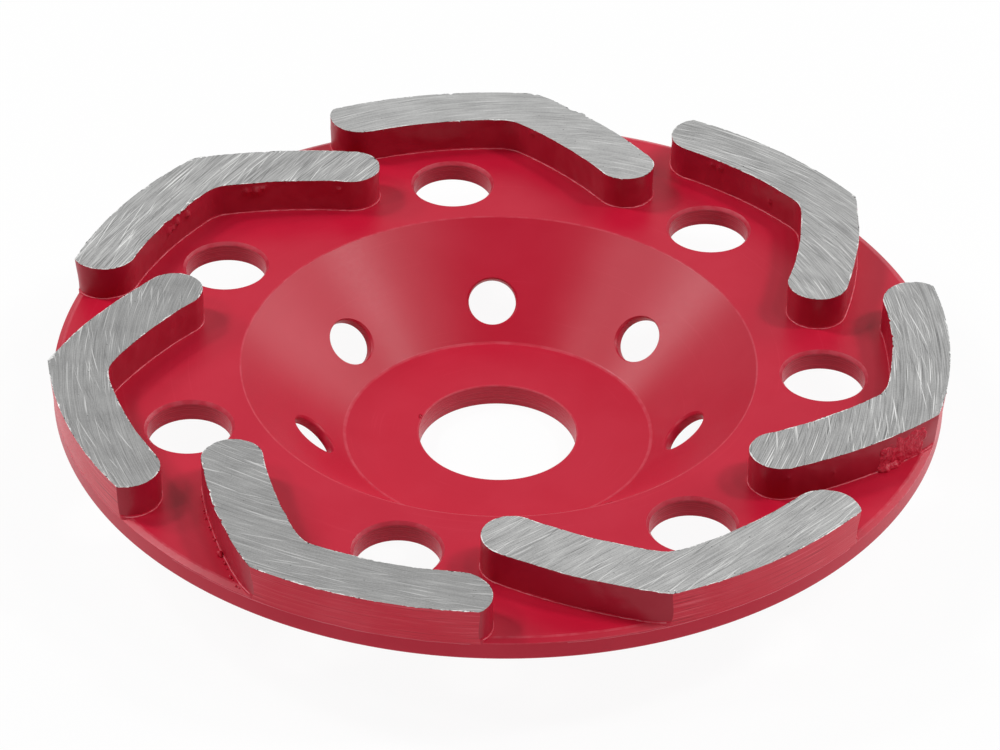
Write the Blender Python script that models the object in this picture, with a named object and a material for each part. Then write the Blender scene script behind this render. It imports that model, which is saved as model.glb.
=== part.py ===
"""Diamond cup wheel for an angle grinder: a turned steel cup that carries seven brazed diamond segments.

The wheel lies on its hub with the segments up. Z is the spindle axis, and the origin is the centre of the
hub's back face. Lengths are in metres and angles in radians.
"""

import math

import bmesh
import bpy
from mathutils import Matrix, Vector
from mathutils.geometry import intersect_sphere_sphere_2d

MM = 0.001

# Whole wheel
WHEEL_DIAMETER = 125.0 * MM  # over the segments' ground outer faces
DIVISIONS = 7  # segments, flange holes and cone holes, each evenly spaced

# Cup body
RIM_SETBACK = 0.5 * MM  # the steel rim lies this far inside the top edge of the segments' outer faces
FLANGE_WIDTH = 26.0 * MM  # from the rim in to the mouth of the cup
FLANGE_THICKNESS = 3.0 * MM
CUP_DEPTH = 12.7 * MM  # from the flange's top down to the hub's inner face
CONE_WALL = 1.4 * MM  # square to the slope
HUB_THICKNESS = 3.3 * MM
HUB_FACE_DIAMETER = 43.4 * MM  # the flat floor inside the cup
BORE_DIAMETER = 22.23 * MM

# Edges of the cup body
RIM_BEVEL_WIDTH = 0.9 * MM  # shallow bevel round the top of the rim
RIM_BEVEL_DEPTH = 0.4 * MM
RIM_BACK_CHAMFER = 0.3 * MM
BORE_CHAMFER = 0.25 * MM
MOUTH_ROUND = 0.3 * MM
FLOOR_ROUND = 0.4 * MM
BACK_HUB_ROUND = 1.0 * MM
BACK_FLANGE_ROUND = 1.5 * MM

# Holes
FLANGE_HOLE_DIAMETER = 11.5 * MM
FLANGE_HOLE_CHAMFER = 0.35 * MM
FLANGE_HOLE_INSET = 16.7 * MM  # from the rim in to the centre of each hole
FLANGE_HOLE_ANGLE = math.radians(47.8)
CONE_HOLE_DIAMETER = 6.9 * MM
CONE_HOLE_CHAMFER = 0.15 * MM
CONE_HOLE_UP_SLOPE = 6.3 * MM  # from the edge of the cup's floor, along the slope
CONE_HOLE_ANGLE = math.radians(40.9)
CUTTER_MARGIN = 2.0 * MM  # how far a cutter runs past the faces that it cuts

# Segments
SEGMENT_HEIGHT = 4.8 * MM
SEAM_GAP = 0.3 * MM  # the brazed seam between flange and segment
GRIND_DEPTH = 0.2 * MM  # taken off the outer face after brazing
RIM_LEG_WIDTH = 8.0 * MM
INWARD_LEG_WIDTH = 8.3 * MM
INWARD_LEG_BEND = 66.6 * MM  # radius of the leg's gently curved middle line
INWARD_LEG_SKEW = math.radians(58.0)  # between the leg's tip and the line to the spindle axis
INWARD_TIP_INSET = 15.85 * MM  # from the wheel's outer radius to the centre of the rounded tip
SEGMENT_SPREAD = math.radians(44.85)  # between the centres of the two rounded tips
INNER_CORNER_ROUND = 4.8 * MM
FIRST_SEGMENT_ANGLE = math.radians(66.9)  # of the first segment's inward tip

# Sides of the rounded shapes
TURNED_SIDES = 18 * DIVISIONS
HOLE_SIDES = 36
ROUND_STEPS = 3
TIP_STEPS = 14
LONG_ARC_STEPS = 10
SHARP_ANGLE = math.radians(25.0)
WELD_DISTANCE = 0.001 * MM

# Sizes that follow from the ones above
WHEEL_RADIUS = WHEEL_DIAMETER / 2
RIM_RADIUS = WHEEL_RADIUS - RIM_SETBACK
MOUTH_RADIUS = RIM_RADIUS - FLANGE_WIDTH
FLOOR_RADIUS = HUB_FACE_DIAMETER / 2
BORE_RADIUS = BORE_DIAMETER / 2
FLOOR_HEIGHT = HUB_THICKNESS
FLANGE_TOP = FLOOR_HEIGHT + CUP_DEPTH
FLANGE_BOTTOM = FLANGE_TOP - FLANGE_THICKNESS
SLOPE_ANGLE = math.atan2(CUP_DEPTH, MOUTH_RADIUS - FLOOR_RADIUS)
SEGMENT_BASE = FLANGE_TOP + SEAM_GAP


def clear_scene():
    """Removes whatever the opened file holds."""
    for obj in list(bpy.data.objects):
        bpy.data.objects.remove(obj, do_unlink=True)


def make_material(name, color, roughness, metallic):
    """Returns a plain Principled material."""
    material = bpy.data.materials.new(name)
    material.use_nodes = True
    shader = material.node_tree.nodes["Principled BSDF"]
    shader.inputs["Base Color"].default_value = (*color, 1.0)
    shader.inputs["Roughness"].default_value = roughness
    shader.inputs["Metallic"].default_value = metallic
    return material


def red_paint():
    """Returns the satin red paint of the cup and of the segments' sides."""
    return make_material("red_paint", (0.50, 0.017, 0.038), 0.38, 0.0)


def ground_metal():
    """Returns the bare metal of the segments' ground tops."""
    return make_material("ground_metal", (0.38, 0.39, 0.38), 0.42, 0.9)


def mesh_from(builder, name):
    """Returns a mesh with the faces of a bmesh, all facing out, and frees the bmesh."""
    bmesh.ops.recalc_face_normals(builder, faces=builder.faces)
    mesh = bpy.data.meshes.new(name)
    builder.to_mesh(mesh)
    builder.free()
    return mesh


def smooth_by_angle(mesh):
    """Shades the turned and rounded faces smooth and keeps the real edges sharp."""
    mesh.shade_smooth()
    mesh.set_sharp_from_angle(angle=SHARP_ANGLE)


def rounded_profile(corners):
    """Returns the points of a closed profile whose corners are chamfered or rounded.

    Each corner is (radius, height, rounding, steps). One step gives a chamfer, and no rounding a sharp edge.
    """
    points = []
    for index, (radius, height, rounding, steps) in enumerate(corners):
        corner = Vector((radius, height))
        if not rounding:
            points.append(corner)
            continue
        before = (Vector(corners[index - 1][:2]) - corner).normalized()
        after = (Vector(corners[(index + 1) % len(corners)][:2]) - corner).normalized()
        half_angle = before.angle(after) / 2
        centre = corner + (before + after).normalized() * (rounding / math.sin(half_angle))
        tangent_length = rounding / math.tan(half_angle)
        start = corner + before * tangent_length - centre
        sweep = start.angle_signed(corner + after * tangent_length - centre)
        for step in range(steps + 1):
            points.append(centre + Matrix.Rotation(-sweep * step / steps, 2) @ start)
    return points


def turned_mesh(name, profile, sides, closed):
    """Turns a profile of (radius, height) points about Z.

    A closed profile gives a ring, and an open one starts and ends on the axis.
    """
    builder = bmesh.new()
    verts = [builder.verts.new((radius, 0.0, height)) for radius, height in profile]
    edges = [builder.edges.new(pair) for pair in zip(verts, verts[1:])]
    if closed:
        edges.append(builder.edges.new((verts[-1], verts[0])))
    bmesh.ops.spin(
        builder,
        geom=verts + edges,
        cent=(0.0, 0.0, 0.0),
        axis=(0.0, 0.0, 1.0),
        angle=math.tau,
        steps=sides,
        use_merge=True,
    )
    bmesh.ops.remove_doubles(builder, verts=builder.verts, dist=WELD_DISTANCE)
    return mesh_from(builder, name)


def cone_outside_radius(height):
    """Returns the radius of the cone's outer side, which runs parallel to its inner side."""
    inside = FLOOR_RADIUS + (height - FLOOR_HEIGHT) / math.tan(SLOPE_ANGLE)
    return inside + CONE_WALL / math.sin(SLOPE_ANGLE)


def cup_profile():
    """Returns the section of the cup body, from the bore out to the rim and back."""
    return rounded_profile(
        [
            (BORE_RADIUS, 0.0, BORE_CHAMFER, 1),
            (BORE_RADIUS, FLOOR_HEIGHT, BORE_CHAMFER, 1),
            (FLOOR_RADIUS, FLOOR_HEIGHT, FLOOR_ROUND, ROUND_STEPS),
            (MOUTH_RADIUS, FLANGE_TOP, MOUTH_ROUND, ROUND_STEPS),
            (RIM_RADIUS - RIM_BEVEL_WIDTH, FLANGE_TOP, 0.0, 0),
            (RIM_RADIUS, FLANGE_TOP - RIM_BEVEL_DEPTH, 0.0, 0),
            (RIM_RADIUS, FLANGE_BOTTOM, RIM_BACK_CHAMFER, 1),
            (cone_outside_radius(FLANGE_BOTTOM), FLANGE_BOTTOM, BACK_FLANGE_ROUND, ROUND_STEPS),
            (cone_outside_radius(0.0), 0.0, BACK_HUB_ROUND, ROUND_STEPS),
        ]
    )


def ring_angles(first):
    """Returns the angles of an evenly spaced ring."""
    return [first + index * math.tau / DIVISIONS for index in range(DIVISIONS)]


def hole_cutters(name, diameter, chamfer, top, bottom, first_angle, to_hole):
    """Returns a ring of cutters that drill through from top to bottom and chamfer the hole's top edge.

    The heights top and bottom lie along the hole's own axis, and to_hole takes that axis to its place on +X.
    """
    radius = diameter / 2
    profile = [
        (0.0, bottom - CUTTER_MARGIN),
        (radius, bottom - CUTTER_MARGIN),
        (radius, top - chamfer),
        (radius + chamfer + CUTTER_MARGIN, top + CUTTER_MARGIN),
        (0.0, top + CUTTER_MARGIN),
    ]
    mesh = turned_mesh(name, profile, HOLE_SIDES, closed=False)
    return [placed(mesh, Matrix.Rotation(angle, 4, "Z") @ to_hole) for angle in ring_angles(first_angle)]


def flange_hole_cutters():
    """Returns the cutters of the flange's upright holes."""
    to_hole = Matrix.Translation((RIM_RADIUS - FLANGE_HOLE_INSET, 0.0, 0.0))
    return hole_cutters(
        "flange_hole_cutter",
        FLANGE_HOLE_DIAMETER,
        FLANGE_HOLE_CHAMFER,
        FLANGE_TOP,
        FLANGE_BOTTOM,
        FLANGE_HOLE_ANGLE,
        to_hole,
    )


def cone_hole_cutters():
    """Returns the cutters of the cone's holes, which are drilled square to the slope."""
    centre = Vector((FLOOR_RADIUS, 0.0, FLOOR_HEIGHT))
    centre += CONE_HOLE_UP_SLOPE * Vector((math.cos(SLOPE_ANGLE), 0.0, math.sin(SLOPE_ANGLE)))
    to_hole = Matrix.Translation(centre) @ Matrix.Rotation(-SLOPE_ANGLE, 4, "Y")
    return hole_cutters(
        "cone_hole_cutter",
        CONE_HOLE_DIAMETER,
        CONE_HOLE_CHAMFER,
        0.0,
        -CONE_WALL,
        CONE_HOLE_ANGLE,
        to_hole,
    )


def placed(mesh, matrix):
    """Returns an object that shows a mesh at a place, outside any collection."""
    obj = bpy.data.objects.new(mesh.name, mesh)
    obj.matrix_world = matrix
    return obj


def drill(target, cutters):
    """Cuts the holes out of a solid for good, and removes their cutters."""
    collection = bpy.data.collections.new("cutters")
    bpy.context.scene.collection.children.link(collection)
    for cutter in cutters:
        collection.objects.link(cutter)
    modifier = target.modifiers.new("holes", "BOOLEAN")
    modifier.operation = "DIFFERENCE"
    modifier.solver = "EXACT"
    modifier.operand_type = "COLLECTION"
    modifier.collection = collection
    graph = bpy.context.evaluated_depsgraph_get()
    drilled = bpy.data.meshes.new_from_object(target.evaluated_get(graph))
    target.modifiers.clear()
    target.data = drilled
    for cutter in cutters:
        bpy.data.objects.remove(cutter, do_unlink=True)
    bpy.data.collections.remove(collection)


def make_cup_body(paint):
    """Returns the turned steel cup: hub, cone and flange in one piece, with its drilled holes."""
    body = bpy.data.objects.new("cup_body", turned_mesh("cup_body", cup_profile(), TURNED_SIDES, closed=True))
    bpy.context.scene.collection.objects.link(body)
    drill(body, flange_hole_cutters() + cone_hole_cutters())
    body.data.name = "cup_body"
    body.data.materials.clear()
    body.data.materials.append(paint)
    smooth_by_angle(body.data)
    return body


def polar(radius, angle):
    """Returns the point at a radius and an angle in the wheel's plane."""
    return Vector((radius * math.cos(angle), radius * math.sin(angle)))


def circles_meet(centre_a, radius_a, centre_b, radius_b, near):
    """Returns the point where two circles meet, the one of the two that lies nearer to a given point."""
    points = intersect_sphere_sphere_2d(centre_a, radius_a, centre_b, radius_b)
    return min((Vector(point) for point in points), key=lambda point: (point - near).length)


def arc(centre, start, end, steps, clockwise=False):
    """Returns points on the arc from start to end, without the last one."""
    radius = (start - centre).length
    first = math.atan2(start.y - centre.y, start.x - centre.x)
    last = math.atan2(end.y - centre.y, end.x - centre.x)
    sweep = (last - first) % math.tau
    if clockwise:
        sweep -= math.tau
    return [centre + polar(radius, first + sweep * step / steps) for step in range(steps)]


def segment_outline(ground_radius):
    """Returns a segment's outline, anticlockwise, with its outer face ground to a radius.

    One leg follows the rim and the other runs inward, bent like a boomerang. The inward leg's tip lies on +X.
    """
    axis = Vector((0.0, 0.0))
    leg_inside = WHEEL_RADIUS - RIM_LEG_WIDTH
    rim_tip_radius = (RIM_LEG_WIDTH + GRIND_DEPTH) / 2
    rim_tip = polar(leg_inside + rim_tip_radius, SEGMENT_SPREAD)
    rim_tip_inner = polar(leg_inside, SEGMENT_SPREAD)
    rim_tip_outer = circles_meet(
        axis, ground_radius, rim_tip, rim_tip_radius, polar(ground_radius, math.pi / 2 + SEGMENT_SPREAD)
    )

    inward_tip = Vector((WHEEL_RADIUS - INWARD_TIP_INSET, 0.0))
    across_leg = polar(1.0, math.pi / 2 + INWARD_LEG_SKEW)
    bend_centre = inward_tip + across_leg * INWARD_LEG_BEND
    bend_outside = INWARD_LEG_BEND + INWARD_LEG_WIDTH / 2
    bend_inside = INWARD_LEG_BEND - INWARD_LEG_WIDTH / 2
    inward_tip_outer = inward_tip - across_leg * (INWARD_LEG_WIDTH / 2)
    inward_tip_inner = inward_tip + across_leg * (INWARD_LEG_WIDTH / 2)

    outer_corner = circles_meet(axis, ground_radius, bend_centre, bend_outside, inward_tip)
    round_centre = circles_meet(
        axis,
        leg_inside - INNER_CORNER_ROUND,
        bend_centre,
        bend_inside - INNER_CORNER_ROUND,
        inward_tip,
    )
    round_on_rim_leg = round_centre.normalized() * leg_inside
    round_on_inward_leg = bend_centre + (round_centre - bend_centre).normalized() * bend_inside

    return (
        arc(axis, outer_corner, rim_tip_outer, LONG_ARC_STEPS)
        + arc(rim_tip, rim_tip_outer, rim_tip_inner, TIP_STEPS)
        + arc(axis, rim_tip_inner, round_on_rim_leg, LONG_ARC_STEPS, clockwise=True)
        + arc(round_centre, round_on_rim_leg, round_on_inward_leg, ROUND_STEPS, clockwise=True)
        + arc(bend_centre, round_on_inward_leg, inward_tip_inner, LONG_ARC_STEPS, clockwise=True)
        + arc(inward_tip, inward_tip_inner, inward_tip_outer, TIP_STEPS)
        + arc(bend_centre, inward_tip_outer, outer_corner, LONG_ARC_STEPS)
    )


def segment_mesh(paint, metal):
    """Returns a segment's mesh: its outer face starts flush with the rim and leans out to the wheel's diameter."""
    builder = bmesh.new()
    base = [builder.verts.new((point.x, point.y, SEGMENT_BASE)) for point in segment_outline(RIM_RADIUS)]
    top_height = SEGMENT_BASE + SEGMENT_HEIGHT
    top = [builder.verts.new((point.x, point.y, top_height)) for point in segment_outline(WHEEL_RADIUS)]
    for index in range(len(base)):
        builder.faces.new((base[index - 1], base[index], top[index], top[index - 1]))
    builder.faces.new(reversed(base))
    ground_top = builder.faces.new(top)
    ground_top.material_index = 1
    mesh = mesh_from(builder, "diamond_segment")
    mesh.materials.append(paint)
    mesh.materials.append(metal)
    smooth_by_angle(mesh)
    return mesh


def make_segments(paint, metal):
    """Returns the ring of segments, which share one mesh."""
    mesh = segment_mesh(paint, metal)
    segments = []
    for index, angle in enumerate(ring_angles(FIRST_SEGMENT_ANGLE), start=1):
        segment = bpy.data.objects.new(f"diamond_segment_{index}", mesh)
        segment.rotation_euler.z = angle
        bpy.context.scene.collection.objects.link(segment)
        segments.append(segment)
    return segments


def main():
    """Builds the wheel and parents its pieces to one empty on the spindle axis."""
    clear_scene()
    paint = red_paint()
    metal = ground_metal()
    wheel = bpy.data.objects.new("diamond_cup_wheel", None)
    bpy.context.scene.collection.objects.link(wheel)
    for piece in [make_cup_body(paint), *make_segments(paint, metal)]:
        piece.parent = wheel


main()
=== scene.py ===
"""Diamond cup wheel for an angle grinder: a turned steel cup in red powder coat with seven brazed diamond segments.

The wheel lies on its hub with the segments up. Z is the spindle axis, and lengths are in metres.
"""

import logging
import math
import random
from collections.abc import Callable, Collection, Iterator, Sequence
from contextlib import contextmanager
from dataclasses import dataclass, field
from enum import Enum

import bmesh
import bpy
from mathutils import Matrix, Vector, kdtree
from mathutils.geometry import intersect_sphere_sphere_2d


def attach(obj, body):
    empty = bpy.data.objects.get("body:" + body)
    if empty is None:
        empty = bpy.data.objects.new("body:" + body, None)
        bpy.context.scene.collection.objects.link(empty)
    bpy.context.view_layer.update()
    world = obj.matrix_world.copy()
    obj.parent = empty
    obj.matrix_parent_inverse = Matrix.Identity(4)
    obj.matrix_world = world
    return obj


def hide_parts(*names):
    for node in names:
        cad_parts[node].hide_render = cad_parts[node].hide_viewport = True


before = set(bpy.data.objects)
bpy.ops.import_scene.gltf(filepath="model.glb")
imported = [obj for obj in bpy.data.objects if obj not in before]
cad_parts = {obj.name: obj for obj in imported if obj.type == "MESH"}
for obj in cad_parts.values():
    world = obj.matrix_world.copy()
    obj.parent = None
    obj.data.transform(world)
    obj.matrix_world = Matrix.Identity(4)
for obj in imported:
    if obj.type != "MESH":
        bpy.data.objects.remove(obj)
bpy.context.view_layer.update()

log = logging.getLogger("diamond_cup_wheel")

Colour = tuple[float, float, float, float]  # red, green, blue and alpha
Socket = bpy.types.NodeSocket
Piece = bpy.types.Object
Material = bpy.types.Material

MM = 0.001
DIVISIONS = 7  # segments, dust holes and cone holes, each evenly spaced
WELD_DISTANCE = 0.0005 * MM
CORNER_MERGE = 0.2 * MM  # below the spacing of the points round a segment
SAME_HEIGHT = 0.001 * MM
FIRST_SEGMENT_ANGLE = math.radians(66.9)  # of the first segment's inward tip
WHITE: Colour = (1.0, 1.0, 1.0, 1.0)


class Coat(Enum):
    """Material slots of the segments, in the order in which they are filled."""

    POWDER = 0
    GROUND_TOP = 1
    GROUND_FACE = 2


class Under(Enum):
    """What the powder coat lies on, and shows through it."""

    TURNING = "turned steel, drilled for the dust holes"
    SINTER = "a segment's side, with the coat chipped along the top edge"
    GRINDING = "a segment's ground outer face, chipped in the same way"


class Wear(Enum):
    """Kinds of marks on a segment's edges and sides, with the falloff of the push that makes them."""

    CHIP = "SHARP"
    BURR = "SPHERE"
    LUMP = "SMOOTH"


def clear_selection() -> None:
    """Goes back to object mode and deselects everything."""
    if bpy.context.mode != "OBJECT":
        bpy.ops.object.mode_set(mode="OBJECT")
    bpy.ops.object.select_all(action="DESELECT")


def take(piece: Piece) -> None:
    """Makes a piece the only selected and the active one.

    Args:
        piece: The object to take in hand.
    """
    clear_selection()
    piece.select_set(True)
    bpy.context.view_layer.objects.active = piece


@contextmanager
def editing(piece: Piece) -> Iterator[None]:
    """Opens a piece in edit mode, and closes it again afterwards.

    Args:
        piece: The piece.
    """
    take(piece)
    bpy.ops.object.mode_set(mode="EDIT")
    yield
    bpy.ops.object.mode_set(mode="OBJECT")


def fresh(name: str) -> Piece:
    """Names the object that was just added, and its mesh.

    Args:
        name: The piece's name.

    Returns:
        The active object.
    """
    piece = bpy.context.active_object
    piece.name = name
    piece.data.name = name
    return piece


def pick(piece: Piece, kind: str, wanted: Callable[[Sequence[Vector]], bool]) -> None:
    """Selects elements of a piece in edit mode by their place.

    Args:
        piece: The piece in edit mode.
        kind: VERT, EDGE or FACE.
        wanted: Tells from the points of an element whether it is selected.
    """
    bpy.ops.mesh.select_mode(type=kind)
    bpy.ops.mesh.select_all(action="DESELECT")
    builder = bmesh.from_edit_mesh(piece.data)
    for element in {"VERT": builder.verts, "EDGE": builder.edges, "FACE": builder.faces}[kind]:
        points = [element.co] if kind == "VERT" else [vert.co for vert in element.verts]
        if wanted(points):
            element.select_set(True)
    bmesh.update_edit_mesh(piece.data)


def apply_modifiers(piece: Piece) -> None:
    """Applies all modifiers of a piece in their order.

    Args:
        piece: The piece.
    """
    take(piece)
    for modifier in list(piece.modifiers):
        bpy.ops.object.modifier_apply(modifier=modifier.name)


def settle(piece: Piece) -> None:
    """Puts a piece's place, turn and scale into its mesh, so that its object sits at the origin."""
    take(piece)
    bpy.ops.object.transform_apply(location=True, rotation=True, scale=True)


def face_out(piece: Piece, weld: float = WELD_DISTANCE) -> None:
    """Merges close points and turns all faces outwards.

    Args:
        piece: The piece.
        weld: How close points are when they are merged.
    """
    with editing(piece):
        bpy.ops.mesh.select_all(action="SELECT")
        bpy.ops.mesh.remove_doubles(threshold=weld)
        bpy.ops.mesh.normals_make_consistent(inside=False)


def boolean(piece: Piece, tools: list[Piece], operation: str) -> None:
    """Cuts a piece with tools, and removes the tools.

    Args:
        piece: The piece that is cut.
        tools: The closed solids that cut it.
        operation: DIFFERENCE or INTERSECT.
    """
    rack = bpy.data.collections.new("tools")
    bpy.context.scene.collection.children.link(rack)
    for tool in tools:
        for owner in list(tool.users_collection):
            owner.objects.unlink(tool)
        rack.objects.link(tool)
    cut = piece.modifiers.new("cut", "BOOLEAN")
    cut.operation = operation
    cut.solver = "EXACT"
    cut.operand_type = "COLLECTION"
    cut.collection = rack
    apply_modifiers(piece)
    for tool in tools:
        bpy.data.objects.remove(tool, do_unlink=True)
    bpy.data.collections.remove(rack)


def ring_places(first: float) -> list[Matrix]:
    """Returns the turns of an evenly spaced ring about the spindle axis, from the first one's angle."""
    return [Matrix.Rotation(first + index * math.tau / DIVISIONS, 4, "Z") for index in range(DIVISIONS)]


def copy_piece(source: Piece, name: str) -> Piece:
    """Copies a piece with a mesh of its own.

    Args:
        source: The piece that is copied.
        name: The name of the copy and of its mesh.

    Returns:
        The copy, where the source is.
    """
    copy = source.copy()
    copy.data = source.data.copy()
    copy.name = copy.data.name = name
    bpy.context.scene.collection.objects.link(copy)
    return copy


def copy_to_segments(source: Piece) -> list[Piece]:
    """Copies a piece that is modelled with the inward tip on +X to every segment, and removes it.

    Args:
        source: The piece. Its copies have its name with the segment's number.

    Returns:
        The copies, in the order of the segments.
    """
    copies = []
    for number, place in enumerate(ring_places(FIRST_SEGMENT_ANGLE), start=1):
        copy = copy_piece(source, f"{source.name}_{number}")
        copy.matrix_world = place
        settle(copy)
        copies.append(copy)
    bpy.data.objects.remove(source, do_unlink=True)
    return copies


def dress(piece: Piece, *coats: Material) -> None:
    """Fills a piece's material slots.

    Args:
        piece: The piece.
        coats: Its finishes, in the order of the slots.
    """
    piece.data.materials.clear()
    for coat in coats:
        piece.data.materials.append(coat)


def ripple(
    piece: Piece,
    name: str,
    size: float,
    depth: float,
    middle: float = 0.5,
    direction: str = "NORMAL",
    weights: dict[int, float] | None = None,
) -> None:
    """Displaces a piece, or part of it, with a cloud pattern.

    Args:
        piece: The piece.
        name: The name of the pattern.
        size: The size of the pattern's clouds.
        depth: The height of the displacement.
        middle: The pattern's value that moves nothing.
        direction: X, Y, Z or NORMAL.
        weights: How much each point takes part, where only some of them do.
    """
    cloud = bpy.data.textures.new(name, "CLOUDS")
    cloud.noise_scale = size
    displace = piece.modifiers.new(name, "DISPLACE")
    displace.texture = cloud
    displace.texture_coords = "LOCAL"
    displace.direction = direction
    displace.strength = depth
    displace.mid_level = middle
    if weights is not None:
        group = piece.vertex_groups.new(name=name)
        for index, weight in weights.items():
            group.add([index], weight, "REPLACE")
        displace.vertex_group = group.name
    apply_modifiers(piece)
    piece.vertex_groups.clear()


def drag(piece: Piece, point: Vector, value: Vector, falloff: str, size: float) -> None:
    """Moves one point of a piece in edit mode, and the surface round it along with it.

    Args:
        piece: The piece in edit mode.
        point: Where the point is.
        value: How far it moves.
        falloff: How the move fades out round it.
        size: How far the move reaches.
    """
    pick(piece, "VERT", lambda points: (points[0] - point).length < WELD_DISTANCE)
    bpy.ops.transform.translate(
        value=value, use_proportional_edit=True, proportional_edit_falloff=falloff, proportional_size=size
    )


def point_tree(piece: Piece, indices: Collection[int]) -> kdtree.KDTree:
    """Sorts points of a piece by their place, so that the nearest one can be looked up.

    Args:
        piece: The piece.
        indices: The points that are sorted in.

    Returns:
        The tree of the points.
    """
    tree = kdtree.KDTree(len(indices))
    for index in indices:
        tree.insert(piece.data.vertices[index].co, index)
    tree.balance()
    return tree


def stack_rings(name: str, rings: Sequence[tuple[float, float]], sides: int, closed: bool) -> Piece:
    """Builds a turned shape: a circle is extruded from ring to ring and scaled to each radius.

    Args:
        name: The object's name.
        rings: Radius and height of each ring.
        sides: Sides of the circle.
        closed: Whether the last ring is welded to the first, instead of capping both ends.

    Returns:
        The turned object, with its faces outwards.
    """
    clear_selection()
    radius, height = rings[0]
    bpy.ops.mesh.primitive_circle_add(vertices=sides, radius=radius, location=(0.0, 0.0, height))
    turned = fresh(name)
    settle(turned)
    with editing(turned):
        bpy.ops.mesh.select_all(action="SELECT")
        if not closed:
            bpy.ops.mesh.edge_face_add()
        for next_radius, next_height in [*rings[1:], *([rings[0]] if closed else [])]:
            bpy.ops.mesh.extrude_region_move(TRANSFORM_OT_translate={"value": (0.0, 0.0, next_height - height)})
            scale = next_radius / radius
            bpy.ops.transform.resize(value=(scale, scale, 1.0), center_override=(0.0, 0.0, next_height))
            radius, height = next_radius, next_height
    face_out(turned)
    return turned


class NodeBench:
    """Lays out the nodes of one material, or of the world."""

    def __init__(self, owner: Material | bpy.types.World, output: str = "ShaderNodeOutputMaterial") -> None:
        """Clears the owner's nodes and adds its output.

        Args:
            owner: The material or the world.
            output: The type of its output node.
        """
        self.owner = owner
        owner.use_nodes = True
        self.tree = owner.node_tree
        self.tree.nodes.clear()
        self.output = self.tree.nodes.new(output)

    def add(self, kind: str, inputs: dict, **settings: object) -> bpy.types.Node:
        """Adds a node.

        Args:
            kind: The node's type.
            inputs: Sockets to link and values to set, by socket name or number.
            settings: Properties of the node.

        Returns:
            The new node.
        """
        node = self.tree.nodes.new(kind)
        for name, value in settings.items():
            setattr(node, name, value)
        for socket, value in inputs.items():
            if isinstance(value, Socket):
                self.tree.links.new(value, node.inputs[socket])
            else:
                node.inputs[socket].default_value = value
        return node

    def math(self, operation: str, *values: object) -> Socket:
        """Returns the result of a math node on sockets and numbers."""
        return self.add("ShaderNodeMath", dict(enumerate(values)), operation=operation).outputs[0]

    def vector(self, operation: str, inputs: dict) -> Socket:
        """Returns the result of a vector math node, by its inputs' names or numbers."""
        outputs = self.add("ShaderNodeVectorMath", inputs, operation=operation).outputs
        return outputs["Value" if operation == "LENGTH" else "Vector"]

    def ramp(self, value: Socket, low: float, high: float, bottom: float = 0.0, top: float = 1.0) -> Socket:
        """Returns a value mapped smoothly from low..high to bottom..top and held there."""
        inputs = {"Value": value, "From Min": low, "From Max": high, "To Min": bottom, "To Max": top}
        return self.add("ShaderNodeMapRange", inputs, interpolation_type="SMOOTHSTEP").outputs["Result"]

    def blend(self, factor: object, first: object, second: object) -> Socket:
        """Returns a mix of two colours."""
        inputs = {"Factor": factor, "A": first, "B": second}
        return self.add("ShaderNodeMix", inputs, data_type="RGBA").outputs["Result"]

    def noise(self, vector: Socket, size: float, detail: float = 2.0) -> Socket:
        """Returns the value of a noise with clouds of a size."""
        inputs = {"Vector": vector, "Scale": 1 / size, "Detail": detail}
        return self.add("ShaderNodeTexNoise", inputs).outputs[0]

    def place(self, centre: tuple[float, float] = (0.0, 0.0)) -> Socket:
        """Returns the object coordinates, centred on a point of the wheel's plane.

        Args:
            centre: The point.

        Returns:
            The coordinates.
        """
        coordinates = self.add("ShaderNodeTexCoord", {})
        inputs = {"Vector": coordinates.outputs["Object"], "Location": (-centre[0], -centre[1], 0.0)}
        return self.add("ShaderNodeMapping", inputs).outputs[0]

    def edge(self) -> Socket:
        """Returns how near the surface is to an edge where the finish wears or runs thin, and where some coats carry a
        painted highlight.
        """
        return self.add("ShaderNodeAttribute", {}, attribute_name="edge").outputs["Fac"]

    def from_axis(self, place: Socket) -> tuple[Socket, Socket]:
        """Returns the way from the axis as a level vector, and its length."""
        flat = self.vector("MULTIPLY", {0: place, 1: (1.0, 1.0, 0.0)})
        return flat, self.vector("LENGTH", {0: flat})

    def scratches(self, place: Socket, length: float, width: float, seed: float, detail: float = 2.0) -> Socket:
        """Returns a noise stretched round the axis, as a tool on a lathe leaves its marks.

        Args:
            place: Coordinates about the axis.
            length: How often the noise changes along its run, per radian.
            width: Width of a mark across its run.
            seed: Shifts the marks.
            detail: How much finer noise is added.

        Returns:
            The noise's value.
        """
        flat, radius = self.from_axis(place)
        heading = self.vector("NORMALIZE", {0: flat})
        heading = self.vector("SCALE", {0: heading, "Scale": length})
        upward = self.vector("MULTIPLY", {0: place, 1: (0.0, 0.0, 1.0 / width)})
        vector = self.vector("ADD", {0: heading, 1: upward})
        across = self.math("MULTIPLY_ADD", radius, 1.0 / width, seed)
        inputs = {"Vector": vector, "W": across, "Scale": 1.0, "Detail": detail}
        return self.add("ShaderNodeTexNoise", inputs, noise_dimensions="4D").outputs[0]

    def bump(self, height: Socket, depth: float, strength: float = 1.0) -> Socket:
        """Returns the normal of a surface with this height map."""
        return self.add("ShaderNodeBump", {"Height": height, "Distance": depth, "Strength": strength}).outputs[0]

    def finish(self, shader: Socket) -> Material | bpy.types.World:
        """Links the surface and returns the material or the world."""
        self.tree.links.new(shader, self.output.inputs["Surface"])
        return self.owner


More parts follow.
